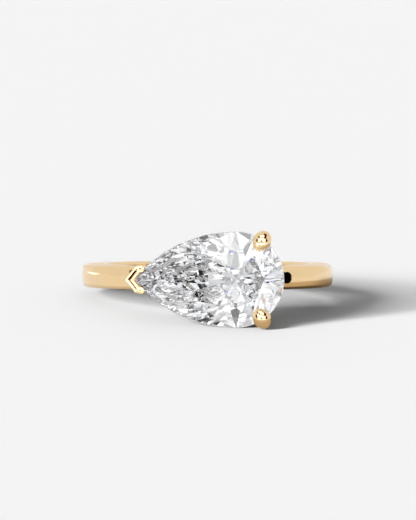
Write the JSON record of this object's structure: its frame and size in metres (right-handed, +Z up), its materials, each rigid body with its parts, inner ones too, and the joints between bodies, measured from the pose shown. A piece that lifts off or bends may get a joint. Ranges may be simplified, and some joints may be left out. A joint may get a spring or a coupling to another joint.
{
  "type": "solitaire engagement ring",
  "caption": "Plain polished gold band with a pear-cut clear stone set across the finger, held by round claws at its wide end and a V claw at its tip, lying on its side.",
  "frame": {"origin": "middle of the ring's footprint, on the surface that it lies on", "axes": "+Z up from the surface, -Y towards the stone's table, -X towards the stone's tip; the finger's axis leans a few degrees from +Z"},
  "size_m": [0.0202, 0.0247, 0.0076],
  "materials": {
    "gold": "polished yellow gold",
    "diamond": "polished clear diamond"
  },
  "bodies": {
    "root": {"ring_mounting": "gold", "pear_stone": "diamond"}
  },
  "joints": []
}
